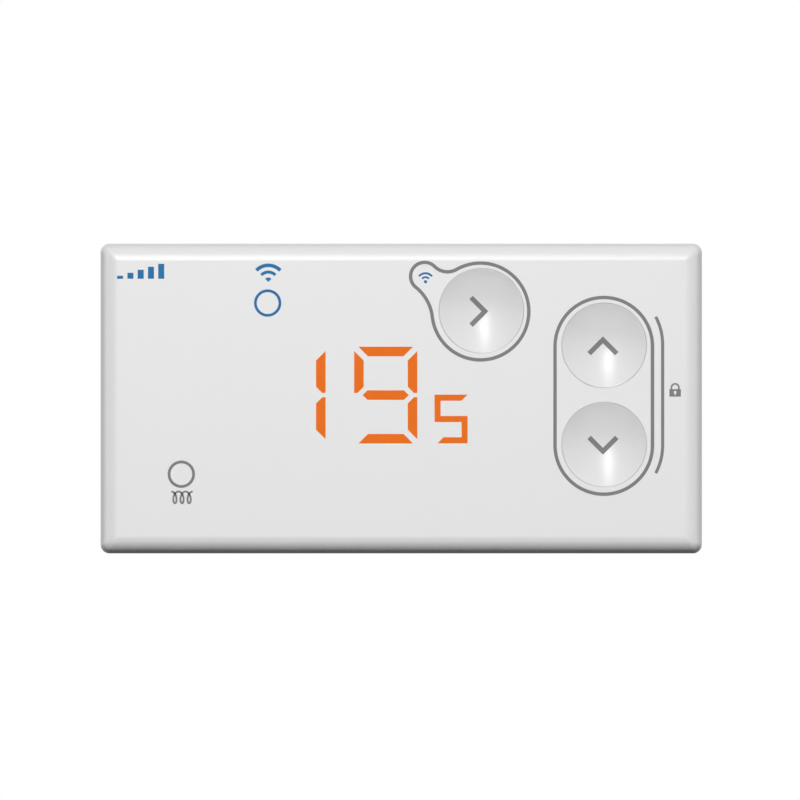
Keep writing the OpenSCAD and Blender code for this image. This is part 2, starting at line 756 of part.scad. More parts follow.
// Bobbin of the supply transformer, with its pin rails.
module transformer_bobbin() color("black") translate([transformer_place[0], 0, transformer_place[1]]) {
    low_d = relay_rear_d + 2.3;
    high_d = power_d - 3.1;
    flange_t = 0.6;
    flange_half_w = 4.4;
    flange_half_h = 5.4;
    bore_half_w = transformer_limb_half_w + 0.1;
    bore_half_h = 3.1;
    tube_wall = 0.5;
    rail_half_w = 5.6;
    rail_h = 2.2;
    for (d = [low_d, high_d - flange_t]) slab(d, d + flange_t) difference() {
        limits(-flange_half_w, flange_half_w, -flange_half_h, flange_half_h);
        limits(-bore_half_w, bore_half_w, -bore_half_h, bore_half_h);
    }
    slab(low_d, high_d) difference() {
        limits(-bore_half_w - tube_wall, bore_half_w + tube_wall,
            -bore_half_h - tube_wall, bore_half_h + tube_wall);
        limits(-bore_half_w, bore_half_w, -bore_half_h, bore_half_h);
    }
    for (z = [-flange_half_h, flange_half_h - rail_h])
        slab(high_d - 0.1, power_d - 0.02) limits(-rail_half_w, rail_half_w, z, z + rail_h);
}

// Winding of the supply transformer, under its yellow tape.
module transformer_winding() color("gold") translate([transformer_place[0], 0, transformer_place[1]])
    slab(relay_rear_d + 3, power_d - 3.8) difference() {
        rounded(8.4, 10.2, 1.5);
        limits(-2.3, 2.3, -3.7, 3.7);
    }

// Film capacitor across the mains.
module mains_capacitor() color("goldenrod")
    slab(power_d - 10.5, power_d - 0.02) translate(mains_capacitor_place) square([13, 6], center = true);

// Disc varistor, standing on its edge.
module varistor() color("royalblue")
    translate([varistor_place[0] - 2, -power_d + 5.4, varistor_place[1]]) rotate([0, 90, 0])
        cylinder(h = 4, r = 5.2);

// Round radial fuse.
module fuse() color("saddlebrown") rod(fuse_place, power_d - 8, power_d - 0.02, 4.2);

// Electrolytic capacitors of the supply.
module bulk_capacitors() color("midnightblue")
    for (p = bulk_places) rod(p, power_d - bulk_length, power_d - 0.02, bulk_r);

// Film between the two boards.
module insulation_sheet() color("lightyellow") slab(power_face_d + 1.05, power_face_d + 1.3) difference() {
    square([board_w - 2, board_h - 2], center = true);
    for (x = [-1, 1], z = [-1, 1]) translate([x * board_w / 2, z * board_h / 2])
        square(2 * board_notch + 1, center = true);
    for (p = concat(power_post_places, display_post_places)) translate(p) circle(board_head_r + 0.5);
    translate(header_place) square([header_count * header_pitch + 2, 5], center = true);
}

// Place of a pin of the link between the boards.
function header_pin_place(i) = header_place + [(i - (header_count - 1) / 2) * header_pitch, 0];

// Pin strip on the mains board.
module board_header() color("goldenrod") for (i = [0 : header_count - 1])
    slab(power_d - 0.5, display_d - 0.3) translate(header_pin_place(i)) square(0.5, center = true);

// Socket strip on the display board.
module board_socket() color("black") slab(power_face_d + 0.2, display_d) difference() {
    translate(header_place) square([header_count * header_pitch, 2.2], center = true);
    for (i = [0 : header_count - 1]) translate(header_pin_place(i)) square(0.7, center = true);
}

// Bead of the temperature sensor, in the air stream from the bottom vents.
module temperature_sensor() color("black")
    translate([sensor_place[0] - 1.9, -sensor_d, sensor_place[1]]) rotate([0, 90, 0])
        cylinder(h = 3.8, r = sensor_r);

// Leads of the temperature sensor.
module sensor_leads() color("silver")
    for (p = sensor_lead_places) rod(p, sensor_d + sensor_r + eps, lead_end_d, 0.25);

// Board behind the face, with the display, the switches and the radio.
module display_board() color("darkgreen") slab(display_d, display_face_d) difference() {
    board_outline();
    for (p = display_post_places) translate(p) circle(board_screw_r + screw_clearance);
}

// Screws that hold the display board on the fascia's posts.
module display_board_screws() color("silver")
    for (p = display_post_places)
        screw(p, display_d, fascia_inner_d - 0.6, board_screw_r, board_head_r, board_head_t);

// White light chamber with one shaft for each segment.
module display_reflector() color("white") slab(display_face_d, reflector_front_d) difference() {
    display_outline(reflector_margin);
    display_segments();
}

// Milky bars that fill the front of the segments' shafts.
module segment_diffusers() color("darkorange")
    slab(diffuser_front_d - diffuser_t, diffuser_front_d) display_segments();

// Light-emitting diodes of the segments.
module display_leds() color("lightyellow") slab(display_face_d, display_face_d + 0.6) {
    for (i = [0, 1], c = segment_centres(digit_w, digit_h, digit_stroke))
        translate([digit_x - i * digit_pitch, digit_z] + c) square([1.3, 1.3], center = true);
    for (c = segment_centres(small_w, small_h, small_stroke))
        translate([small_x, small_z] + c) square([0.8, 0.8], center = true);
}

// Light-emitting diodes of the status lights.
module status_leds() color("lightyellow")
    for (p = light_places)
        slab(display_face_d, display_face_d + 0.7) translate(p) square([1.6, 1.2], center = true);

// Clear rods from the status diodes to the thin spots in the face.
module status_light_pipes() color("azure")
    for (p = light_places) rod(p, display_face_d + 0.9, front_d - thin_wall - 0.1, light_r);

// Small board of the radio module.
module radio_board() color("midnightblue") slab(display_face_d, display_face_d + radio_t)
    translate(radio_place) square([radio_w, radio_h], center = true);

// Tinned shield over the radio's circuits. The antenna's end is left free.
module radio_shield() color("silver")
    slab(display_face_d + radio_t, display_face_d + radio_t + shield_t)
        translate(radio_place + [0, -3]) rounded(radio_w - 2, radio_h - 8, 0.8);

// Microcontroller with its four rows of legs.
module microcontroller() color("black") translate([0, 0, -19.4]) {
    slab(display_face_d + 0.1, display_face_d + 1.4) square(7, center = true);
    for (a = [0 : 90 : 270], i = [-3.5 : 3.5]) rotate([0, a, 0]) translate([i * 0.8, 0, 3.9])
        slab(display_face_d, display_face_d + 0.5) square([0.35, 1.2], center = true);
}

// Resistors and capacitors beside the microcontroller.
module surface_mount_parts() color("tan") slab(display_face_d, display_face_d + 0.6) {
    for (i = [0 : 5], j = [0, 1]) translate([-18 + i * 2.2, -17 - j * 4]) square([1, 2], center = true);
    for (i = [0 : 3], j = [0, 1]) translate([8 + i * 2.2, -17 - j * 4]) square([1, 2], center = true);
    for (i = [0 : 2]) translate([-14 + i * 3, 19]) square([2, 1.2], center = true);
}

// Body of a low tactile switch, with the well for its plunger.
module switch_body(place) {
    slab(display_face_d, display_face_d + switch_t) difference() {
        translate(place) square(switch_size, center = true);
        translate(place) circle(plunger_r + plunger_gap);
    }
    slab(display_face_d, switch_well_d) translate(place) square(switch_size, center = true);
}

// Plunger of a tactile switch.
module switch_plunger(place) rod(place, plunger_front_d - plunger_length, plunger_front_d, plunger_r);

// Button cap: a dished disc, a flange that keeps it behind the face, and a hub for the switch.
module button_cap(place) difference() {
    union() {
        rod(place, cap_rear_d, front_d, button_r);
        rod(place, cap_rear_d, fascia_inner_d - cap_flange_gap, cap_flange_r);
        rod(place, plunger_front_d + hub_gap, cap_rear_d + eps, hub_r);
    }
    translate([place[0], -(front_d - dish_depth + dish_sphere_r), place[1]]) sphere(dish_sphere_r);
}

module select_switch() color("dimgray") switch_body(select_place);
module up_switch() color("dimgray") switch_body(up_place);
module down_switch() color("dimgray") switch_body(down_place);
module select_plunger() color("firebrick") switch_plunger(select_place);
module up_plunger() color("firebrick") switch_plunger(up_place);
module down_plunger() color("firebrick") switch_plunger(down_place);
module select_button() color("whitesmoke") button_cap(select_place);
module up_button() color("whitesmoke") button_cap(up_place);
module down_button() color("whitesmoke") button_cap(down_place);

wall_plate();
terminal_block();
terminal_screws();
terminal_cages();
socket_contacts();
retaining_screw();
rear_cover();
housing_screws();
fascia();
power_board();
power_board_screws();
contact_blades();
component_leads();
relay_base();
relay_cover();
relay_core();
relay_bobbin();
relay_coil();
relay_armature();
relay_moving_contact();
relay_fixed_contact();
transformer_core();
transformer_bobbin();
transformer_winding();
mains_capacitor();
varistor();
fuse();
bulk_capacitors();
insulation_sheet();
board_header();
board_socket();
temperature_sensor();
sensor_leads();
display_board();
display_board_screws();
display_reflector();
segment_diffusers();
display_leds();
status_leds();
status_light_pipes();
radio_board();
radio_shield();
microcontroller();
surface_mount_parts();
select_switch();
up_switch();
down_switch();
select_plunger();
up_plunger();
down_plunger();
select_button();
up_button();
down_button();
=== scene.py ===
import json
import math

import bmesh
import bpy
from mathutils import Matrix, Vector


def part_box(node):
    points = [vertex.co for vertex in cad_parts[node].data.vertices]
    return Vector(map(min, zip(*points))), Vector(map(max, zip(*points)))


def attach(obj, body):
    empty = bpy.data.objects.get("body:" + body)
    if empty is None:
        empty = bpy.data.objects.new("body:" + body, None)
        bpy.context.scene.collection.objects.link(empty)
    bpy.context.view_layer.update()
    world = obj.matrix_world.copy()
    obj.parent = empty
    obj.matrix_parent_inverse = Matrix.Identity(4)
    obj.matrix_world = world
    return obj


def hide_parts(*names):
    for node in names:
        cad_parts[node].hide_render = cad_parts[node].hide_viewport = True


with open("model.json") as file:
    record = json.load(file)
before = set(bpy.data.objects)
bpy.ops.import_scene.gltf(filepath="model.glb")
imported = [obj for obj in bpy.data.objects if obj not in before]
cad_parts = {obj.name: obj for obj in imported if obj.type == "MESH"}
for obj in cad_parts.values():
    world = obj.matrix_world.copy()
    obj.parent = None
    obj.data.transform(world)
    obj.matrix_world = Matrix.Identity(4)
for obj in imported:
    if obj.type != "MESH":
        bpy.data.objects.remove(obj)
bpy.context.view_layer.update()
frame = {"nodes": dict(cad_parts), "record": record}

MM = 0.001

# ---------------------------------------------------------------- places taken from the frame
front_low, front_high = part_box("fascia")
FRONT = -front_low.y
PARTING = -front_high.y
HALF_W = (front_high.x - front_low.x) / 2
HALF_H = (front_high.z - front_low.z) / 2
PRINT = 0.02 * MM  # the shell's face lies this far behind the CAD face, to make room for the prints


def centre(node):
    """Middle of a CAD node's box, as (x, z)."""
    low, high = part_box(node)
    return ((low.x + high.x) / 2, (low.z + high.z) / 2)


BUTTONS = {name: centre(name + "_button") for name in ("select", "up", "down")}
plunger_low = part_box("select_plunger")[0]
cap_low, cap_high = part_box("select_button")
FLANGE_R = (cap_high.x - cap_low.x) / 2
FLANGE_W = 1.06 * MM
CAP_R = FLANGE_R - FLANGE_W
CAP_REAR = -cap_high.y


# ---------------------------------------------------------------- materials
def principled(name):
    """A new material with its Principled shader."""
    mat = bpy.data.materials.new(name)
    mat.use_nodes = True
    return mat, mat.node_tree.nodes, mat.node_tree.links, mat.node_tree.nodes["Principled BSDF"]


def noise(nodes, links, coords, scale, detail=3.0, roughness=0.5):
    """A noise texture in object space. scale is in cycles per metre."""
    tex = nodes.new("ShaderNodeTexNoise")
    tex.inputs["Scale"].default_value = scale
    tex.inputs["Detail"].default_value = detail
    tex.inputs["Roughness"].default_value = roughness
    links.new(coords.outputs["Object"], tex.inputs["Vector"])
    return tex.outputs["Fac"]


def spread(nodes, links, value, low, high):
    """A texture value spread between two numbers."""
    remap = nodes.new("ShaderNodeMapRange")
    remap.inputs["From Min"].default_value = 0.3
    remap.inputs["From Max"].default_value = 0.7
    remap.inputs["To Min"].default_value = low
    remap.inputs["To Max"].default_value = high
    links.new(value, remap.inputs["Value"])
    return remap.outputs["Result"]


def plastic(name, colour, roughness, grain=9000.0, bump=0.02, tint=0.02, roughness_spread=0.04,
            cloud=60.0, subsurface=0.0, metallic=0.0, specular=0.5):
    """Moulded plastic or painted metal: fine surface grain and faint changes of colour and gloss."""
    mat, nodes, links, shader = principled(name)
    coords = nodes.new("ShaderNodeTexCoord")
    broad = noise(nodes, links, coords, cloud)
    fine = noise(nodes, links, coords, grain, detail=2.0)
    mix = nodes.new("ShaderNodeMix")
    mix.data_type = "RGBA"
    mix.inputs["A"].default_value = (*[c * (1 - tint) for c in colour], 1)
    mix.inputs["B"].default_value = (*[min(1, c * (1 + tint)) for c in colour], 1)
    links.new(broad, mix.inputs["Factor"])
    links.new(mix.outputs["Result"], shader.inputs["Base Color"])
    links.new(
        spread(nodes, links, broad, roughness - roughness_spread, roughness + roughness_spread),
        shader.inputs["Roughness"],
    )
    bumps = nodes.new("ShaderNodeBump")
    bumps.inputs["Strength"].default_value = bump
    bumps.inputs["Distance"].default_value = 0.05 * MM
    links.new(fine, bumps.inputs["Height"])
    links.new(bumps.outputs["Normal"], shader.inputs["Normal"])
    shader.inputs["Metallic"].default_value = metallic
    shader.inputs["Specular IOR Level"].default_value = specular
    if subsurface:
        shader.inputs["Subsurface Weight"].default_value = subsurface
        shader.inputs["Subsurface Radius"].default_value = (1.0, 0.95, 0.9)
        shader.inputs["Subsurface Scale"].default_value = 0.5 * MM
    return mat


def brushed(name, colour, roughness, direction=(1, 40, 40)):
    """Drawn or plated metal with fine lines along one axis."""
    mat, nodes, links, shader = principled(name)
    coords = nodes.new("ShaderNodeTexCoord")
    stretch = nodes.new("ShaderNodeMapping")
    stretch.inputs["Scale"].default_value = direction
    links.new(coords.outputs["Object"], stretch.inputs["Vector"])
    lines = nodes.new("ShaderNodeTexNoise")
    lines.inputs["Scale"].default_value = 300.0
    lines.inputs["Detail"].default_value = 4.0
    links.new(stretch.outputs["Vector"], lines.inputs["Vector"])
    mix = nodes.new("ShaderNodeMix")
    mix.data_type = "RGBA"
    mix.inputs["A"].default_value = (*[c * 0.8 for c in colour], 1)
    mix.inputs["B"].default_value = (*colour, 1)
    links.new(lines.outputs["Fac"], mix.inputs["Factor"])
    links.new(mix.outputs["Result"], shader.inputs["Base Color"])
    links.new(
        spread(nodes, links, lines.outputs["Fac"], roughness - 0.08, roughness + 0.08),
        shader.inputs["Roughness"],
    )
    bumps = nodes.new("ShaderNodeBump")
    bumps.inputs["Strength"].default_value = 0.1
    bumps.inputs["Distance"].default_value = 0.02 * MM
    links.new(lines.outputs["Fac"], bumps.inputs["Height"])
    links.new(bumps.outputs["Normal"], shader.inputs["Normal"])
    shader.inputs["Metallic"].default_value = 1.0
    return mat


def ink(name, colour, roughness=0.45):
    """Pad-printed ink: slightly uneven cover over the plastic's grain."""
    return plastic(
        name, colour, roughness, grain=14000.0, bump=0.05, tint=0.05, cloud=1200.0, specular=0.2,
    )


def lit_plastic(name, colour, glow, strength):
    """White plastic lit from behind: its own colour plus the light that comes through."""
    mat = plastic(name, colour, 0.4, bump=0.02, tint=0.01, cloud=400.0, specular=0.12)
    nodes, links = mat.node_tree.nodes, mat.node_tree.links
    shader = nodes["Principled BSDF"]
    coords = nodes.new("ShaderNodeTexCoord")
    cloud = noise(nodes, links, coords, 250.0, detail=1.0)
    shader.inputs["Emission Color"].default_value = (*glow, 1)
    uneven = 0.04
    links.new(
        spread(nodes, links, cloud, strength * (1 - uneven), strength * (1 + uneven)),
        shader.inputs["Emission Strength"],
    )
    return mat


def circuit_board(name, mask, copper):
    """Solder mask over copper: pale tracks and pads show through the mask."""
    mat, nodes, links, shader = principled(name)
    coords = nodes.new("ShaderNodeTexCoord")
    grid = nodes.new("ShaderNodeTexBrick")
    grid.inputs["Scale"].default_value = 220.0
    grid.inputs["Mortar Size"].default_value = 0.09
    grid.inputs["Color1"].default_value = (*mask, 1)
    grid.inputs["Color2"].default_value = (*[c * 0.85 for c in mask], 1)
    grid.inputs["Mortar"].default_value = (*copper, 1)
    turn = nodes.new("ShaderNodeMapping")
    turn.inputs["Rotation"].default_value = (math.pi / 2, 0, 0)
    links.new(coords.outputs["Object"], turn.inputs["Vector"])
    links.new(turn.outputs["Vector"], grid.inputs["Vector"])
    links.new(grid.outputs["Color"], shader.inputs["Base Color"])
    weave = noise(nodes, links, coords, 2500.0)
    links.new(spread(nodes, links, weave, 0.25, 0.4), shader.inputs["Roughness"])
    bumps = nodes.new("ShaderNodeBump")
    bumps.inputs["Strength"].default_value = 0.1
    bumps.inputs["Distance"].default_value = 0.03 * MM
    links.new(grid.outputs["Fac"], bumps.inputs["Height"])
    links.new(bumps.outputs["Normal"], shader.inputs["Normal"])
    return mat


def winding(name, colour):
    """Wire wound side by side round the X axis, as ridges along X, with painted shade darkening the
    grooves between turns.
    """
    mat, nodes, links, shader = principled(name)
    coords = nodes.new("ShaderNodeTexCoord")
    wave = nodes.new("ShaderNodeTexWave")
    wave.bands_direction = "X"
    wave.inputs["Scale"].default_value = 900.0
    wave.inputs["Distortion"].default_value = 0.3
    links.new(coords.outputs["Object"], wave.inputs["Vector"])
    # painted shade: the copper colour drops to 0.45 in the grooves between turns, where the ridges' bump
    # is lowest
    mix = nodes.new("ShaderNodeMix")
    mix.data_type = "RGBA"
    mix.inputs["A"].default_value = (*[c * 0.45 for c in colour], 1)
    mix.inputs["B"].default_value = (*colour, 1)
    links.new(wave.outputs["Fac"], mix.inputs["Factor"])
    links.new(mix.outputs["Result"], shader.inputs["Base Color"])
    bumps = nodes.new("ShaderNodeBump")
    bumps.inputs["Strength"].default_value = 0.6
    bumps.inputs["Distance"].default_value = 0.1 * MM
    links.new(wave.outputs["Fac"], bumps.inputs["Height"])
    links.new(bumps.outputs["Normal"], shader.inputs["Normal"])
    shader.inputs["Metallic"].default_value = 0.8
    shader.inputs["Roughness"].default_value = 0.35
    return mat


def clear(name, colour, roughness):
    """Clear moulded plastic or film."""
    mat = plastic(name, colour, roughness, bump=0.01, tint=0.01)
    shader = mat.node_tree.nodes["Principled BSDF"]
    shader.inputs["Transmission Weight"].default_value = 0.85
    shader.inputs["IOR"].default_value = 1.49
    return mat


FACE_WHITE = (0.86, 0.86, 0.86)
BUTTON_WHITE = (0.82, 0.82, 0.82)
# even colour and gloss, as on the visible mouldings
EVEN = {"tint": 0.003, "roughness_spread": 0.01, "cloud": 900.0, "subsurface": 0.05}
MATERIALS = {
    "front_shell_white": plastic("face_white", FACE_WHITE, 0.30, bump=0.012, **EVEN),
    "button_white": plastic("button_white", BUTTON_WHITE, 0.26, bump=0.010, **EVEN),
    "cover_white": plastic("cover_white", (0.84, 0.84, 0.84), 0.48, grain=5000.0, bump=0.25, tint=0.01),
    "plate_white": plastic("plate_white", (0.80, 0.80, 0.79), 0.50, grain=5000.0, bump=0.25, tint=0.015),
    "terminal_grey": plastic("terminal_grey", (0.045, 0.05, 0.055), 0.5, grain=4000.0, bump=0.2),
    "zinc_steel": brushed("zinc_steel", (0.68, 0.69, 0.71), 0.3),
    "cage_steel": brushed("cage_steel", (0.50, 0.50, 0.52), 0.42),
    "contact_brass": brushed("contact_brass", (0.78, 0.60, 0.30), 0.3, direction=(40, 1, 40)),
    "board_green": circuit_board("board_green", (0.012, 0.085, 0.035), (0.04, 0.20, 0.07)),
    "relay_black": plastic("relay_black", (0.018, 0.018, 0.019), 0.35, grain=4000.0, bump=0.1),
    "relay_iron": brushed("relay_iron", (0.42, 0.42, 0.43), 0.45),
    "bobbin_ivory": plastic("bobbin_ivory", (0.70, 0.66, 0.55), 0.5, bump=0.1),
    "copper_winding": winding("copper_winding", (0.66, 0.27, 0.10)),
    "ferrite": plastic("ferrite", (0.035, 0.035, 0.04), 0.6, grain=3000.0, bump=0.4, metallic=0.3),
    "tape_yellow": plastic("tape_yellow", (0.80, 0.52, 0.05), 0.28, grain=1500.0, bump=0.15),
    "film_capacitor": plastic("film_capacitor", (0.72, 0.42, 0.05), 0.35, bump=0.1),
    "varistor_blue": plastic("varistor_blue", (0.03, 0.08, 0.32), 0.3, grain=1200.0, bump=0.4),
    "fuse_brown": plastic("fuse_brown", (0.12, 0.035, 0.02), 0.35, bump=0.1),
    "capacitor_sleeve": plastic("capacitor_sleeve", (0.012, 0.018, 0.07), 0.3, grain=1500.0, bump=0.1),
    "clear_film": clear("clear_film", (0.88, 0.86, 0.74), 0.2),
    "sensor_black": plastic("sensor_black", (0.02, 0.02, 0.02), 0.25, grain=1500.0, bump=0.3),
    "lead_tin": brushed("lead_tin", (0.74, 0.75, 0.76), 0.3, direction=(40, 1, 40)),
    "reflector_white": plastic("reflector_white", (0.85, 0.85, 0.84), 0.45, bump=0.05),
    "diffuser_orange": lit_plastic("diffuser_orange", (0.85, 0.35, 0.08), (1.0, 0.30, 0.02), 0.6),
    "led_yellow": plastic("led_yellow", (0.80, 0.62, 0.15), 0.3, bump=0.05),
    "light_pipe_clear": clear("light_pipe_clear", (0.95, 0.97, 0.98), 0.06),
    "radio_board_blue": circuit_board("radio_board_blue", (0.008, 0.02, 0.09), (0.03, 0.07, 0.22)),
    "shield_tin": brushed("shield_tin", (0.70, 0.70, 0.70), 0.35),
    "chip_black": plastic("chip_black", (0.02, 0.02, 0.022), 0.55, grain=4000.0, bump=0.3),
    "ceramic_tan": plastic("ceramic_tan", (0.42, 0.30, 0.18), 0.5, grain=3000.0, bump=0.1),
    "switch_grey": plastic("switch_grey", (0.04, 0.04, 0.042), 0.5, bump=0.1),
    "plunger_red": plastic("plunger_red", (0.35, 0.02, 0.015), 0.4, bump=0.05),
}
INK_GREY = ink("ink_grey", (0.225, 0.225, 0.225))
INK_BLUE = ink("ink_blue", (0.010, 0.175, 0.42))
LIT_ORANGE = lit_plastic("lit_orange", (0.62, 0.145, 0.002), (1.0, 0.10, 0.0), 0.26)


# ---------------------------------------------------------------- CAD nodes keep their shape
def moulded_edges():
    """Geometry nodes that join a CAD mesh's faces and shade its curved faces smooth."""
    tree = bpy.data.node_groups.new("moulded_edges", "GeometryNodeTree")
    tree.interface.new_socket("Geometry", in_out="INPUT", socket_type="NodeSocketGeometry")
    tree.interface.new_socket("Geometry", in_out="OUTPUT", socket_type="NodeSocketGeometry")
    start = tree.nodes.new("NodeGroupInput")
    end = tree.nodes.new("NodeGroupOutput")
    merge = tree.nodes.new("GeometryNodeMergeByDistance")
    merge.inputs["Distance"].default_value = 0.001 * MM
    smooth_faces = tree.nodes.new("GeometryNodeSetShadeSmooth")
    angle = tree.nodes.new("GeometryNodeInputMeshEdgeAngle")
    compare = tree.nodes.new("FunctionNodeCompare")
    compare.operation = "LESS_THAN"
    compare.inputs[1].default_value = math.radians(30)
    smooth_edges = tree.nodes.new("GeometryNodeSetShadeSmooth")
    smooth_edges.domain = "EDGE"
    tree.links.new(start.outputs[0], merge.inputs["Geometry"])
    tree.links.new(merge.outputs["Geometry"], smooth_faces.inputs["Geometry"])
    tree.links.new(smooth_faces.outputs["Geometry"], smooth_edges.inputs["Geometry"])
    tree.links.new(angle.outputs["Unsigned Angle"], compare.inputs[0])
    tree.links.new(compare.outputs["Result"], smooth_edges.inputs["Shade Smooth"])
    tree.links.new(smooth_edges.outputs["Geometry"], end.inputs[0])
    return tree


def finish_cad_nodes():
    """Gives each CAD node its material, smooth curves and slightly broken edges."""
    tree = moulded_edges()
    slots = {part["node"]: part["material_slot"] for part in frame["record"]["subparts"]}
    for name, obj in frame["nodes"].items():
        obj.data.materials.clear()
        obj.data.materials.append(MATERIALS[slots[name]])
        join = obj.modifiers.new("join", "NODES")
        join.node_group = tree
        if name in ("rear_cover", "wall_plate", "terminal_block"):
            bevel = obj.modifiers.new("broken_edges", "BEVEL")
            bevel.width = 0.15 * MM
            bevel.segments = 2
            bevel.limit_method = "ANGLE"
            bevel.angle_limit = math.radians(40)
            bevel.harden_normals = True
        weigh = obj.modifiers.new("weigh", "WEIGHTED_NORMAL")
        weigh.keep_sharp = True


# ---------------------------------------------------------------- mesh helpers
def add_object(name, mesh, body, material):
    """Links a mesh as a piece that rides on a body."""
    obj = bpy.data.objects.new(name, mesh)
    bpy.context.scene.collection.objects.link(obj)
    mesh.materials.append(material)
    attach(obj, body)
    return obj


def mesh_from(name, bm):
    """A mesh from a bmesh, with its normals facing out."""
    bmesh.ops.recalc_face_normals(bm, faces=bm.faces)
    mesh = bpy.data.meshes.new(name)
    bm.to_mesh(mesh)
    bm.free()
    return mesh


def smooth_by_angle(mesh, degrees=30):
    """Smooth shading with sharp edges kept above an angle."""
    mesh.shade_smooth()
    mesh.set_sharp_from_angle(angle=math.radians(degrees))


def rounded_loop(half_w, half_h, radius, corner_steps):
    """Points round a rectangle with round corners, as (x, z)."""
    points = []
    for cx, cz, start in ((1, 1, 0), (-1, 1, 90), (-1, -1, 180), (1, -1, 270)):
        for i in range(corner_steps + 1):
            a = math.radians(start + 90 * i / corner_steps)
            points.append((
                cx * (half_w - radius) + radius * math.cos(a),
                cz * (half_h - radius) + radius * math.sin(a),
            ))
    return points


def loft(loops):
    """A closed bmesh through loops of (x, z) points at depths, capped at both ends."""
    bm = bmesh.new()
    rings = [[bm.verts.new((x, -depth, z)) for x, z in points] for depth, points in loops]
    for low, high in zip(rings, rings[1:]):
        count = len(low)
        for i in range(count):
            bm.faces.new((low[i], low[(i + 1) % count], high[(i + 1) % count], high[i]))
    bm.faces.new(rings[0])
    bm.faces.new(rings[-1])
    bmesh.ops.remove_doubles(bm, verts=bm.verts, dist=0.0005 * MM)
    return bm


def lathe(profile, place, steps=96):
    """A closed bmesh turned round the depth axis through place. profile is (radius, depth) points."""
    bm = bmesh.new()
    rings = []
    for radius, depth in profile:
        if radius == 0:
            rings.append([bm.verts.new((place[0], -depth, place[1]))])
            continue
        rings.append([
            bm.verts.new((
                place[0] + radius * math.cos(2 * math.pi * i / steps),
                -depth,
                place[1] + radius * math.sin(2 * math.pi * i / steps),
            ))
            for i in range(steps)
        ])
    for low, high in zip(rings, rings[1:]):
        for i in range(steps):
            j = (i + 1) % steps
            if len(low) == 1:
                bm.faces.new((low[0], high[i], high[j]))
            elif len(high) == 1:
                bm.faces.new((low[i], low[j], high[0]))
            else:
                bm.faces.new((low[i], low[j], high[j], high[i]))
    return bm


def scratch(name, bm):
    """An object that is in the scene but isn't a piece yet, for booleans."""
    obj = bpy.data.objects.new(name, mesh_from(name, bm))
    bpy.context.scene.collection.objects.link(obj)
    return obj


def combine(obj, operation, others):
    """Applies a boolean of obj with each other object, and removes those."""
    for other in others:
        cut = obj.modifiers.new("cut", "BOOLEAN")
        cut.operation = operation
        cut.solver = "EXACT"
        cut.object = other
    bpy.context.view_layer.update()
    shaped = bpy.data.meshes.new_from_object(obj.evaluated_get(bpy.context.evaluated_depsgraph_get()))
    obj.modifiers.clear()
    obj.data = shaped
    for other in others:
        bpy.data.objects.remove(other)


# ---------------------------------------------------------------- front shell
EDGE_R = 3.0 * MM
CORNER_R = 1.8 * MM
DRAFT = 0.445 * MM
SHELL_T = 1.8 * MM
FACE = FRONT - PRINT
HOLE_GAP = 0.04 * MM
HOLE_ROUND = 0.12 * MM
QUARTER = (0, 22.5, 45, 67.5, 90)
WALL_T = 2.4 * MM
INNER_HALF_W = HALF_W - WALL_T
INNER_HALF_H = HALF_H - WALL_T
OVERRUN = 1 * MM
INNER_FACE = FRONT - SHELL_T


def shell_profile():
    """(inset, depth) from the joint, up the drafted wall and over the rolled edge."""
    steps = 14
    roll_start = FACE - EDGE_R
    points = [(0.0, PARTING), (DRAFT * 0.5, (PARTING + roll_start) / 2)]
    for i in range(steps + 1):
        a = math.pi / 2 * i / steps
        points.append((DRAFT + EDGE_R * (1 - math.cos(a)), roll_start + EDGE_R * math.sin(a)))
    return points


SCREW_HEAD_R = 2.5 * MM
screws_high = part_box("housing_screws")[1]
BOSSES = [
    (x * (screws_high.x - SCREW_HEAD_R), z * (screws_high.z - SCREW_HEAD_R))
    for x in (-1, 1)
    for z in (-1, 1)
]
DISPLAY_POSTS = [
    (-48 * MM, 20 * MM),
    (-26 * MM, -20.5 * MM),
    (24 * MM, -20.5 * MM),
    (HALF_W - 7.4 * MM, 0.7 * MM),
]
BOSS_R, BOSS_BORE_R, BOSS_BORE_L = 3.2 * MM, 1.3 * MM, 10 * MM
POST_R, POST_BORE_R = 2.4 * MM, 1 * MM
RING_T, RING_L = 0.9 * MM, 1.2 * MM
pipes_low, pipes_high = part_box("status_light_pipes")
LIGHT_R = 2.1 * MM
LIGHTS = [
    (pipes_high.x - LIGHT_R, pipes_high.z - LIGHT_R),
    (pipes_low.x + LIGHT_R, pipes_low.z + LIGHT_R),
]
THIN_WALL = 0.8 * MM


def turned(name, place, radius, rear, front):
    """A scratch cylinder along the depth."""
    return scratch(name, lathe([(0, rear), (radius, rear), (radius, front), (0, front)], place, 48))


def boxed(name, left, right, low, high, rear, front):
    """A scratch block."""
    corners = [(left, low), (right, low), (right, high), (left, high)]
    return scratch(name, loft([(rear, corners), (front, corners)]))


def shell_posts(shell):
    """Bosses for the screws, and rings round the status lights, inside the shell."""
    root = INNER_FACE + 0.5 * MM
    board_front = -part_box("display_board")[0].y
    post_bore = (board_front - OVERRUN, INNER_FACE - 0.2 * MM)
    light_bore = (INNER_FACE - 2 * MM, FRONT - THIN_WALL)
    combine(shell, "UNION", (
        [turned("boss", place, BOSS_R, PARTING + OVERRUN, root) for place in BOSSES]
        + [turned("post", place, POST_R, board_front, root) for place in DISPLAY_POSTS]
        + [turned("ring", place, LIGHT_R + RING_T, INNER_FACE - RING_L, root) for place in LIGHTS]
    ))
    combine(shell, "DIFFERENCE", (
        [turned("bore", place, BOSS_BORE_R, PARTING, PARTING + BOSS_BORE_L) for place in BOSSES]
        + [turned("bore", place, POST_BORE_R, *post_bore) for place in DISPLAY_POSTS]
        + [turned("bore", place, LIGHT_R + 0.1 * MM, *light_bore) for place in LIGHTS]
    ))


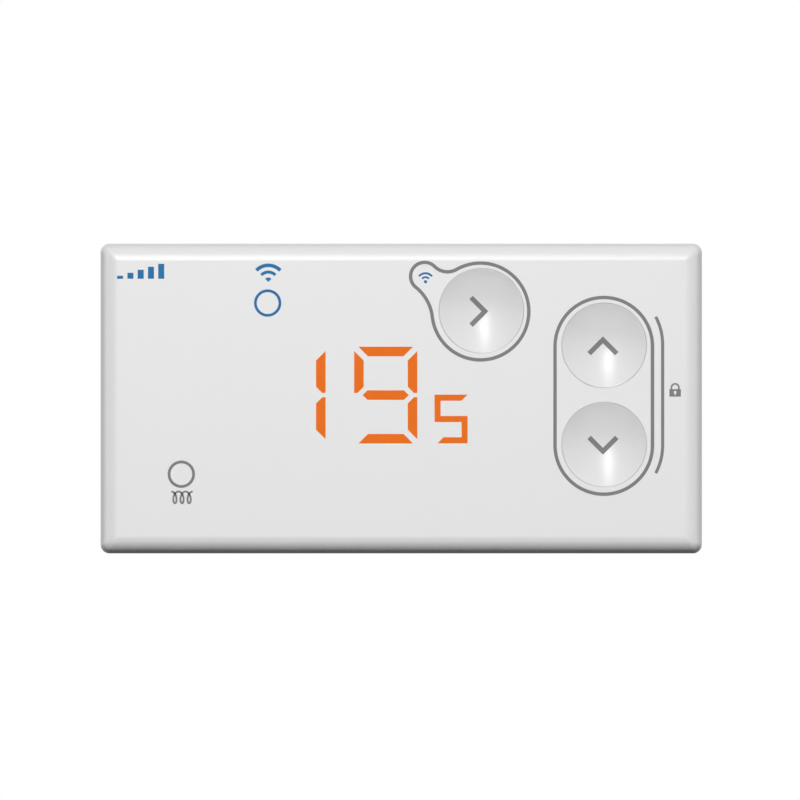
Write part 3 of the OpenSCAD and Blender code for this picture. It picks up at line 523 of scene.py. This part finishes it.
def display_recess(shell):
    """Thins the face over the digits, so that they show through it only when lit."""
    low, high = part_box("segment_diffusers")
    margin = 0.6 * MM
    large_right = 3.2 * MM
    small_top = 0.75 * MM
    bottom = low.z - margin
    depths = (INNER_FACE - OVERRUN, FRONT - THIN_WALL)
    combine(shell, "DIFFERENCE", [
        boxed("large", low.x - margin, large_right + margin, bottom, high.z + margin, *depths),
        boxed("small", large_right, high.x + margin, bottom, small_top + margin, *depths),
    ])


def hole_profile():
    """(radius, depth) of a button hole, with its edge at the face rounded off."""
    hole_r = CAP_R + HOLE_GAP
    rear, front = INNER_FACE - OVERRUN, FACE + OVERRUN
    lip = []
    for degrees in QUARTER:
        a = math.radians(degrees)
        lip.append((
            hole_r + HOLE_ROUND * (1 - math.cos(a)),
            FACE - HOLE_ROUND + HOLE_ROUND * math.sin(a),
        ))
    return [(0, rear), (hole_r, rear), *lip, (lip[-1][0], front), (0, front)]


def front_shell():
    """The front shell: rolled and mitred front edges, button holes, and a hollow with bosses behind."""
    corner_shrink, least_corner = 0.55, 0.05 * MM
    loops = []
    for inset, depth in shell_profile():
        corner = max(CORNER_R - inset * corner_shrink, least_corner)
        loops.append((depth, rounded_loop(HALF_W - inset, HALF_H - inset, corner, 10)))
    shell = scratch("front_shell", loft(loops))
    inner = rounded_loop(INNER_HALF_W, INNER_HALF_H, 1.0 * MM, 4)
    hollow = scratch("hollow", loft([(PARTING - OVERRUN, inner), (INNER_FACE, inner)]))
    combine(shell, "DIFFERENCE", [hollow])
    shell_posts(shell)
    display_recess(shell)
    combine(shell, "DIFFERENCE", [
        scratch("hole_" + name, lathe(hole_profile(), place)) for name, place in BUTTONS.items()
    ])
    smooth_by_angle(shell.data, 35)
    weigh = shell.modifiers.new("weigh", "WEIGHTED_NORMAL")
    weigh.keep_sharp = True
    shell.data.materials.clear()
    shell.data.materials.append(MATERIALS["front_shell_white"])
    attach(shell, "unit")
    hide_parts("fascia")


# ---------------------------------------------------------------- button caps
DISH_DEPTH = 2.0 * MM
RIM = 0.06 * MM
RIM_R = CAP_R - RIM
DISH_SPHERE = (RIM_R ** 2 + DISH_DEPTH ** 2) / (2 * DISH_DEPTH)


def dish_depth(radius):
    """Distance from the wall of the dish's surface, at a radius from the cap's centre."""
    return FACE - DISH_DEPTH + DISH_SPHERE - math.sqrt(DISH_SPHERE ** 2 - radius ** 2)


def button_cap(name, place):
    """A dished cap with a rounded rim, a flange behind the face and a hub for the switch."""
    flange_front = INNER_FACE - 0.1 * MM
    hub_rear = -plunger_low.y + 0.05 * MM
    hub_r = 2.2 * MM
    profile = [
        (0, hub_rear), (hub_r, hub_rear), (hub_r, CAP_REAR),
        (FLANGE_R, CAP_REAR), (FLANGE_R, flange_front), (CAP_R, flange_front),
    ]
    for degrees in QUARTER:
        a = math.radians(degrees)
        profile.append((CAP_R - RIM * (1 - math.cos(a)), FACE - RIM + RIM * math.sin(a)))
    dish_steps = 40
    for i in range(1, dish_steps + 1):
        radius = RIM_R * (1 - i / dish_steps)
        profile.append((radius, dish_depth(radius)))
    mesh = mesh_from(name + "_cap", lathe(profile, place))
    smooth_by_angle(mesh, 50)
    cap = add_object(name + "_cap", mesh, name + "_cap", MATERIALS["button_white"])
    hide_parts(name + "_button")


# ---------------------------------------------------------------- prints
SHARPEST_MITRE = 0.3


def flat_face(x, z):
    """Depth of a print on the face."""
    return FACE


def arc(cx, cz, radius, start, end, step=4):
    """Points along an arc, in degrees anticlockwise from +X."""
    count = max(2, int(abs(end - start) / step))
    return [
        (cx + radius * math.cos(math.radians(start + (end - start) * i / count)),
         cz + radius * math.sin(math.radians(start + (end - start) * i / count)))
        for i in range(count + 1)
    ]


def thick(name, bm, top, body, material):
    """Closes a sheet of faces into a thin layer that stands on a surface."""
    sheet = list(bm.faces)
    grown = bmesh.ops.extrude_face_region(bm, geom=sheet)
    raised = [v for v in grown["geom"] if isinstance(v, bmesh.types.BMVert)]
    for vert in bm.verts:
        vert.co.y = -top(vert.co.x, vert.co.z) + PRINT
    for vert in raised:
        vert.co.y = -top(vert.co.x, vert.co.z) - PRINT * 0.95
    return add_object(name, mesh_from(name, bm), body, material)


def ribbon(name, points, width, material, closed=False, body="unit", top=flat_face):
    """A printed line of constant width through points, with mitred corners and square ends."""
    count = len(points)
    bm = bmesh.new()
    rows = []
    for i, (x, z) in enumerate(points):
        before = points[(i - 1) % count] if closed or i > 0 else None
        after = points[(i + 1) % count] if closed or i < count - 1 else None
        headings = []
        if before is not None:
            headings.append(Vector((x - before[0], z - before[1])).normalized())
        if after is not None:
            headings.append(Vector((after[0] - x, after[1] - z)).normalized())
        along = sum(headings, Vector((0, 0))).normalized()
        normal = Vector((-along.y, along.x))
        reach = width / 2 / max(SHARPEST_MITRE, along.dot(headings[0]))
        rows.append([
            bm.verts.new((x + normal.x * reach * s, 0, z + normal.y * reach * s))
            for s in (-1, -0.5, 0, 0.5, 1)
        ])
    pairs = list(zip(rows, rows[1:])) + ([(rows[-1], rows[0])] if closed else [])
    for low, high in pairs:
        for k in range(4):
            bm.faces.new((low[k], low[k + 1], high[k + 1], high[k]))
    return thick(name, bm, top, body, material)


def patch(name, outlines, material, body="unit", top=flat_face):
    """A filled print with an outline and any holes."""
    bm = bmesh.new()
    edges = []
    for outline in outlines:
        verts = [bm.verts.new((x, 0, z)) for x, z in outline]
        edges += [bm.edges.new((verts[i], verts[(i + 1) % len(verts)])) for i in range(len(verts))]
    bmesh.ops.triangle_fill(bm, use_beauty=True, use_dissolve=False, edges=edges)
    return thick(name, bm, top, body, material)


def tangent_centre(c0, r0, c1, r1, r, side):
    """Centre of a circle of radius r that touches two others from outside, on one side of them."""
    d0, d1 = r0 + r, r1 + r
    gap = Vector((c1[0] - c0[0], c1[1] - c0[1]))
    length = gap.length
    along = (d0 ** 2 - d1 ** 2 + length ** 2) / (2 * length)
    off = math.sqrt(d0 ** 2 - along ** 2)
    u = gap / length
    return (c0[0] + u.x * along - u.y * off * side, c0[1] + u.y * along + u.x * off * side)


def heading(a, b):
    """Direction from a to b, in degrees."""
    return math.degrees(math.atan2(b[1] - a[1], b[0] - a[0]))


LINE_W = 0.68 * MM
SELECT_RING = (15.8 * MM, 17.37 * MM)
SELECT_RING_R = 9.66 * MM
TAG = (4.66 * MM, 24.39 * MM)
TAG_R = 2.8 * MM
ARROW_RINGS = ((40.41 * MM, 10.45 * MM), (40.41 * MM, -9.37 * MM))
ARROW_RING_R = 9.72 * MM
CHEVRONS = {
    "select": (15.48 * MM, 17.41 * MM),
    "up": (40.24 * MM, 10.52 * MM),
    "down": (40.25 * MM, -9.31 * MM),
}
LOCK_LINE_R = 11.75 * MM
LOCK_LINE_W = 0.62 * MM
LOCK_SPAN = 28
STATUS_R = 2.45 * MM


def select_outline():
    """Line round the select button, drawn out to a small lobe at the upper left."""
    hub = SELECT_RING
    upper_r, lower_r = 3.6 * MM, 8.8 * MM
    upper = tangent_centre(hub, SELECT_RING_R, TAG, TAG_R, upper_r, -1)
    lower = tangent_centre(hub, SELECT_RING_R, TAG, TAG_R, lower_r, 1)
    start = heading(hub, lower)
    end = heading(hub, upper)
    points = arc(*hub, SELECT_RING_R, start - 360 if start > end else start, end, 3)
    a, b = heading(upper, hub), heading(upper, TAG)
    points += arc(*upper, upper_r, a, b if b < a else b - 360, 6)[1:]
    a, b = heading(TAG, upper), heading(TAG, lower)
    points += arc(*TAG, TAG_R, a, b if b > a else b + 360, 6)[1:]
    a, b = heading(lower, TAG), heading(lower, hub)
    points += arc(*lower, lower_r, a, b if b < a else b - 360, 3)[1:-1]
    ribbon("select_outline", points, LINE_W, INK_GREY, closed=True)


def arrow_outline():
    """Line round the up and down buttons, and the lock line beside it."""
    up, down = ARROW_RINGS
    sides = arc(*up, ARROW_RING_R, 0, 180, 3) + arc(*down, ARROW_RING_R, 180, 360, 3)
    ribbon("arrow_outline", sides, LINE_W, INK_GREY, closed=True)
    lock_top = (up[0], up[1] + 0.35 * MM)
    lock = arc(*down, LOCK_LINE_R, -LOCK_SPAN, 0, 2) + arc(*lock_top, LOCK_LINE_R, 0, LOCK_SPAN, 2)
    ribbon("lock_line", lock, LOCK_LINE_W, INK_GREY)


def chevron(name, turn):
    """A right-angled arrow on a button's dish. turn 0 points right, 90 up."""
    hub_x, hub_z = BUTTONS[name]
    cx, cz = CHEVRONS[name]
    arm = 3.9 * MM
    stroke = 0.97 * MM
    steps = 8
    tip_x = 1.21 * MM
    run = arm * math.sqrt(0.5)
    line = [(tip_x - run * (1 - i / steps), run * (1 - i / steps)) for i in range(steps)]
    line += [(tip_x - run * i / steps, -run * i / steps) for i in range(steps + 1)]
    c, s = math.cos(math.radians(turn)), math.sin(math.radians(turn))
    points = [(cx + x * c - z * s, cz + x * s + z * c) for x, z in line]

    def on_dish(x, z):
        """Depth of the dish's surface at a point."""
        return dish_depth(math.hypot(x - hub_x, z - hub_z))

    ribbon(name + "_chevron", points, stroke, INK_GREY, body=name + "_cap", top=on_dish)


def radio_mark(name, apex, wedge, bands, half_angle):
    """A radio-wave mark: a wedge or dot with arcs over it."""
    if wedge[0] == "dot":
        patch(name + "_dot", [arc(*apex, wedge[1], 0, 345, 15)], INK_BLUE)
    else:
        top = arc(*apex, wedge[1], 90 + half_angle, 90 - half_angle, 10)
        patch(name + "_wedge", [[apex] + top], INK_BLUE)
    for i, (inner, outer) in enumerate(bands):
        points = arc(*apex, (inner + outer) / 2, 90 - half_angle, 90 + half_angle, 4)
        ribbon(f"{name}_wave_{i}", points, outer - inner, INK_BLUE)


def signal_bars():
    """Rising bars at the upper left of the face."""
    left, low = -56.7 * MM, 23.9 * MM
    tallest = 3.0 * MM
    count, width, gap = 5, 1.2 * MM, 0.85 * MM
    for i in range(count):
        x = left + i * (width + gap)
        top = low + tallest * (i + 1) / count
        patch(f"signal_bar_{i}", [[(x, low), (x + width, low), (x + width, top), (x, top)]], INK_BLUE)


def padlock():
    """Padlock mark to the right of the lock line."""
    x, low, high = 54.66 * MM, 0.39 * MM, 1.87 * MM
    half = 1.14 * MM
    key_z, key_r = 1.27 * MM, 0.28 * MM
    body = [(x - half, low), (x + half, low), (x + half, high), (x - half, high)]
    foot, foot_z = 0.13 * MM, 0.72 * MM
    keyhole = arc(x, key_z, key_r, -50, 230, 20) + [(x - foot, foot_z), (x + foot, foot_z)]
    patch("padlock_body", [body, keyhole], INK_GREY)
    wire = 0.33 * MM
    radius = 0.745 * MM
    peak = 3.10 * MM
    top = peak - wire / 2 - radius
    shackle = [(x + radius, high)] + arc(x, top, radius, 0, 180, 12) + [(x - radius, high)]
    ribbon("padlock_shackle", shackle, wire, INK_GREY)


def heating_mark():
    """Heating element mark: a wire with three loops under its status light."""
    cx, top, low = -43.75 * MM, -18.55 * MM, -20.9 * MM
    pitch, loops = 1.42 * MM, 3
    swing = 0.64 * MM
    points = []
    steps = 24 * loops
    for i in range(steps + 1):
        turn = loops * i / steps
        points.append((
            cx + pitch * (turn - loops / 2) + swing * math.sin(2 * math.pi * turn),
            (top + low) / 2 + (top - low) / 2 * math.cos(2 * math.pi * turn),
        ))
    ribbon("heating_mark", points, 0.37 * MM, INK_GREY)


def digit(name, cx, cz, w, h, stroke, lit):
    """Lit segments of a seven-segment digit."""
    gap = 0.85 * MM
    half_w, half_h = w / 2, h / 2
    mitre = 0.65 * stroke
    tip = half_w - 2 * gap
    shapes = {}
    for key, s in (("a", 1), ("d", -1)):
        shapes[key] = [
            (-half_w + gap, s * half_h), (half_w - gap, s * half_h),
            (half_w - gap - stroke, s * (half_h - stroke)),
            (-half_w + gap + stroke, s * (half_h - stroke)),
        ]
    for key, s, t in (("b", 1, 1), ("c", 1, -1), ("e", -1, -1), ("f", -1, 1)):
        shapes[key] = [
            (s * half_w, t * (half_h - gap)), (s * half_w, t * gap / 2),
            (s * (half_w - stroke + mitre), t * gap / 2),
            (s * (half_w - stroke), t * (gap / 2 + mitre)),
            (s * (half_w - stroke), t * (half_h - gap - stroke)),
        ]
    shapes["g"] = [
        (-tip, 0), (-tip + stroke / 2, stroke / 2), (tip - stroke / 2, stroke / 2),
        (tip, 0), (tip - stroke / 2, -stroke / 2), (-tip + stroke / 2, -stroke / 2),
    ]
    for key in lit:
        outline = [(cx + x, cz + z) for x, z in shapes[key]]
        patch(f"{name}_{key}", [outline], LIT_ORANGE)


def small_five(cx, cz, w, h, stroke):
    """The small digit, one joined stroke with slanted ends."""
    half_w, half_h = w / 2, h / 2
    mid = stroke / 2
    outline = [
        (half_w, half_h), (-half_w, half_h), (-half_w, -mid), (half_w - stroke, -mid),
        (half_w - stroke, -half_h + stroke), (-half_w + 1.5 * stroke, -half_h + stroke),
        (-half_w + 0.5 * stroke, -half_h), (half_w, -half_h), (half_w, mid),
        (-half_w + stroke, mid), (-half_w + stroke, half_h - stroke), (half_w - stroke, half_h - stroke),
    ]
    placed = [(cx + x, cz + z) for x, z in outline]
    patch("tenths_digit", [placed], LIT_ORANGE)


def prints():
    """Everything printed or lit on the face."""
    select_outline()
    arrow_outline()
    chevron("select", 0)
    chevron("up", 90)
    chevron("down", -90)
    radio_mark("network", (-26.53 * MM, 23.28 * MM), ("wedge", 0.88 * MM),
               ((1.66 * MM, 2.26 * MM), (2.95 * MM, 3.67 * MM)), 46)
    radio_mark("tag", (4.84 * MM, 23.32 * MM), ("dot", 0.32 * MM),
               ((0.72 * MM, 1.08 * MM), (1.48 * MM, 1.88 * MM)), 50)
    signal_bars()
    padlock()
    heating_mark()
    network_ring = arc(-26.66 * MM, 19.06 * MM, STATUS_R, 0, 354, 6)
    ribbon("network_ring", network_ring, 0.55 * MM, INK_BLUE, closed=True)
    heating_ring = arc(-43.89 * MM, -15.1 * MM, STATUS_R, 0, 354, 6)
    ribbon("heating_ring", heating_ring, 0.56 * MM, INK_GREY, closed=True)
    large = (0.69 * MM, 12.6 * MM, 19.3 * MM, 1.9 * MM)
    digit("tens_digit", -21.4 * MM, *large, "bc")
    digit("units_digit", -3.1 * MM, *large, "abcdfg")
    small_five(9.94 * MM, -4.08 * MM, 6.6 * MM, 9.7 * MM, 1.2 * MM)


# ---------------------------------------------------------------- studio
def softbox(name, azimuth, elevation, distance, size, share):
    """A rectangular soft light aimed at the object. share is what a facing white surface sends back."""
    data = bpy.data.lights.new(name, "AREA")
    data.shape = "RECTANGLE"
    data.size, data.size_y = size
    data.energy = share * (math.pi * distance) ** 2
    obj = bpy.data.objects.new(name, data)
    turn, rise = math.radians(azimuth), math.radians(elevation)
    place = distance * Vector((
        math.sin(turn) * math.cos(rise),
        -math.cos(turn) * math.cos(rise),
        math.sin(rise),
    ))
    obj.location = place
    obj.rotation_euler = (-place).to_track_quat("-Z", "Y").to_euler()
    obj.visible_camera = False
    bpy.context.scene.collection.objects.link(obj)


SKY_FRONT = 0.32
SKY_BEHIND = 0.75
SKY_BELOW = 0.12
FLOOR_Z = -0.3


def studio_world():
    """White for the camera; for the light, dark below the horizon and brightest behind the object."""
    world = bpy.data.worlds.new("studio")
    bpy.context.scene.world = world
    world.use_nodes = True
    nodes, links = world.node_tree.nodes, world.node_tree.links
    nodes.clear()
    coords = nodes.new("ShaderNodeTexCoord")
    split = nodes.new("ShaderNodeSeparateXYZ")
    links.new(coords.outputs["Generated"], split.inputs["Vector"])

    def ramp(axis, start, end, low, high):
        """A smooth change of brightness between two heights or depths of the view direction."""
        remap = nodes.new("ShaderNodeMapRange")
        remap.interpolation_type = "SMOOTHSTEP"
        remap.inputs["From Min"].default_value = start
        remap.inputs["From Max"].default_value = end
        remap.inputs["To Min"].default_value = low
        remap.inputs["To Max"].default_value = high
        links.new(split.outputs[axis], remap.inputs["Value"])
        return remap.outputs["Result"]

    product = nodes.new("ShaderNodeMath")
    product.operation = "MULTIPLY"
    links.new(ramp("Z", -0.15, 0.06, SKY_BELOW, 1.0), product.inputs[0])
    links.new(ramp("Y", -0.1, 0.7, SKY_FRONT, SKY_BEHIND), product.inputs[1])
    light = nodes.new("ShaderNodeBackground")
    links.new(product.outputs["Value"], light.inputs["Strength"])
    white = nodes.new("ShaderNodeBackground")
    for background in (light, white):
        background.inputs["Color"].default_value = (1, 1, 1, 1)
    path = nodes.new("ShaderNodeLightPath")
    mix = nodes.new("ShaderNodeMixShader")
    out = nodes.new("ShaderNodeOutputWorld")
    links.new(path.outputs["Is Camera Ray"], mix.inputs["Fac"])
    links.new(light.outputs["Background"], mix.inputs[1])
    links.new(white.outputs["Background"], mix.inputs[2])
    links.new(mix.outputs["Shader"], out.inputs["Surface"])


def studio_floor():
    """A wide pale floor under the object, which casts no light back onto it."""
    bm = bmesh.new()
    bmesh.ops.create_circle(bm, cap_ends=True, radius=3.0, segments=96)
    mesh = mesh_from("studio_floor", bm)
    paper = plastic("studio_floor", (0.88, 0.88, 0.88), 0.7, grain=400.0, bump=0.02, tint=0.01)
    shader = paper.node_tree.nodes["Principled BSDF"]
    shader.inputs["Emission Color"].default_value = (1, 1, 1, 1)
    shader.inputs["Emission Strength"].default_value = 0.28
    mesh.materials.append(paper)
    obj = bpy.data.objects.new("studio_floor", mesh)
    obj.location = (0, 0, FLOOR_Z)
    bpy.context.scene.collection.objects.link(obj)
    obj.visible_diffuse = False
    obj.visible_glossy = False


def studio_camera():
    """Square-on view of the face, without perspective."""
    data = bpy.data.cameras.new("camera")
    data.type = "ORTHO"
    data.ortho_scale = 0.15965
    obj = bpy.data.objects.new("camera", data)
    obj.location = (-0.25 * MM, -0.6, -0.29 * MM)
    obj.rotation_euler = (math.pi / 2, 0, 0)
    bpy.context.scene.collection.objects.link(obj)
    bpy.context.scene.camera = obj


def studio():
    """Lights, floor, world and camera."""
    scene = bpy.context.scene
    scene.view_settings.view_transform = "Standard"
    scene.view_settings.look = "None"
    studio_world()
    studio_floor()
    studio_camera()
    softbox("upper", -4, 40, 1.2, (0.20, 0.30), 0.11)
    softbox("strip", -3, 18, 1.2, (0.13, 0.56), 0.36)
    softbox("front", 12, 14, 0.6, (1.0, 0.7), 0.325)
    softbox("fill", 0, -38, 1.4, (1.4, 0.6), 0.27)
    softbox("left", -90, -3, 1.2, (0.9, 0.6), 0.17)
    softbox("right", 90, -3, 1.2, (0.9, 0.6), 0.13)


finish_cad_nodes()
front_shell()
for button, spot in BUTTONS.items():
    button_cap(button, spot)
prints()
studio()
